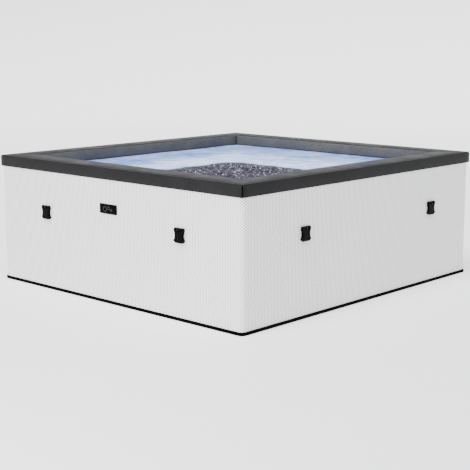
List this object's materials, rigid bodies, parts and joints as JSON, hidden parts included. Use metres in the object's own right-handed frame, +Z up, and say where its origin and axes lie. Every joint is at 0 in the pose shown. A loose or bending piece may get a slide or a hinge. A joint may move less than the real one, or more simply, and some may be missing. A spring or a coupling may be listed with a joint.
{
  "type": "hot tub",
  "caption": "Square foam-walled soft hot tub with woven cladding, padded rim, welded liner, cover buckles, filter and rear water and air ports.",
  "frame": {"origin": "middle of the underside of the base mat, on the ground", "axes": "+X along the front towards its right end, +Y from the front to the back with the ports, +Z up"},
  "size_m": [1.821, 1.952, 0.69],
  "materials": {
    "foam": "matte",
    "woven_cladding": "matte",
    "rim_leatherette": "satin",
    "black_rubber": "matte",
    "mat_rubber": "matte",
    "liner_pvc": "satin",
    "channel_pvc": "satin",
    "black_webbing": "matte",
    "hook_and_loop": "matte",
    "buckle_plastic": "satin",
    "emblem_grey": "satin",
    "zip_plastic": "satin",
    "zip_metal": "satin",
    "port_plastic": "satin",
    "fitting_plastic": "satin",
    "filter_paper": "matte",
    "filter_plastic": "satin"
  },
  "bodies": {
    "tub": {"air_port": "port_plastic", "air_riser": "channel_pvc", "badge_emblem": "emblem_grey", "badge_plate": "black_rubber", "base_mat": "mat_rubber", "bubble_channel": "channel_pvc", "buckle_tabs": "black_webbing", "drain_valve": "port_plastic", "floor_panel": "foam", "hook_strips": "hook_and_loop", "liner": "liner_pvc", "loop_strips": "hook_and_loop", "outer_wrap": "woven_cladding", "port_gaskets": "black_rubber", "port_lock_nuts": "fitting_plastic", "return_port": "port_plastic", "rim_core_back": "foam", "rim_core_front": "foam", "rim_core_left": "foam", "rim_core_right": "foam", "rim_corner_piping": "black_rubber", "rim_cover_back": "rim_leatherette", "rim_cover_front": "rim_leatherette", "rim_cover_left": "rim_leatherette", "rim_cover_right": "rim_leatherette", "suction_port": "port_plastic", "wall_core_back": "foam", "wall_core_front": "foam", "wall_core_left": "foam", "wall_core_right": "foam", "zip_tape": "black_webbing", "zip_teeth": "zip_plastic"},
    "buckle_front_left": {"buckle_front_left": "buckle_plastic"},
    "buckle_front_right": {"buckle_front_right": "buckle_plastic"},
    "buckle_right_front": {"buckle_right_front": "buckle_plastic"},
    "buckle_right_back": {"buckle_right_back": "buckle_plastic"},
    "buckle_back_right": {"buckle_back_right": "buckle_plastic"},
    "buckle_back_left": {"buckle_back_left": "buckle_plastic"},
    "buckle_left_back": {"buckle_left_back": "buckle_plastic"},
    "buckle_left_front": {"buckle_left_front": "buckle_plastic"},
    "zip_slider": {"zip_slider": "zip_metal"},
    "zip_pull": {"zip_pull": "zip_metal"},
    "drain_cap": {"drain_cap": "fitting_plastic", "drain_cap_seal": "black_rubber"},
    "filter": {"filter_cartridge": "filter_paper", "filter_end_cap": "filter_plastic", "filter_cover": "filter_plastic"}
  },
  "joints": [
    {"name": "buckle_front_left_swing", "type": "hinge", "parent": "tub", "child": "buckle_front_left", "pos_m": [-0.503, -0.95, 0.446], "axis": [-1, 0, 0], "range_deg": [0, 175]},
    {"name": "buckle_front_right_swing", "type": "hinge", "parent": "tub", "child": "buckle_front_right", "pos_m": [0.503, -0.95, 0.446], "axis": [-1, 0, 0], "range_deg": [0, 175]},
    {"name": "buckle_right_front_swing", "type": "hinge", "parent": "tub", "child": "buckle_right_front", "pos_m": [0.904, -0.507, 0.446], "axis": [0, -1, 0], "range_deg": [0, 175]},
    {"name": "buckle_right_back_swing", "type": "hinge", "parent": "tub", "child": "buckle_right_back", "pos_m": [0.904, 0.561, 0.446], "axis": [0, -1, 0], "range_deg": [0, 175]},
    {"name": "buckle_back_right_swing", "type": "hinge", "parent": "tub", "child": "buckle_back_right", "pos_m": [0.503, 0.95, 0.446], "axis": [1, 0, 0], "range_deg": [0, 175]},
    {"name": "buckle_back_left_swing", "type": "hinge", "parent": "tub", "child": "buckle_back_left", "pos_m": [-0.503, 0.95, 0.446], "axis": [1, 0, 0], "range_deg": [0, 175]},
    {"name": "buckle_left_back_swing", "type": "hinge", "parent": "tub", "child": "buckle_left_back", "pos_m": [-0.904, 0.507, 0.446], "axis": [0, 1, 0], "range_deg": [0, 175]},
    {"name": "buckle_left_front_swing", "type": "hinge", "parent": "tub", "child": "buckle_left_front", "pos_m": [-0.904, -0.561, 0.446], "axis": [0, 1, 0], "range_deg": [0, 175]},
    {"name": "zip_slide", "type": "slide", "parent": "tub", "child": "zip_slider", "axis": [0, 0, 1], "range_m": [0, 0.53]},
    {"name": "zip_pull_swing", "type": "hinge", "parent": "zip_slider", "child": "zip_pull", "pos_m": [-0.845, 0.951, 0.056], "axis": [1, 0, 0], "range_deg": [0, 165]},
    {"name": "drain_cap_pull", "type": "slide", "parent": "tub", "child": "drain_cap", "axis": [0, 1, 0], "range_m": [0, 0.06]},
    {"name": "filter_pull", "type": "slide", "parent": "tub", "child": "filter", "axis": [0, -1, 0], "range_m": [0, 0.15]}
  ]
}
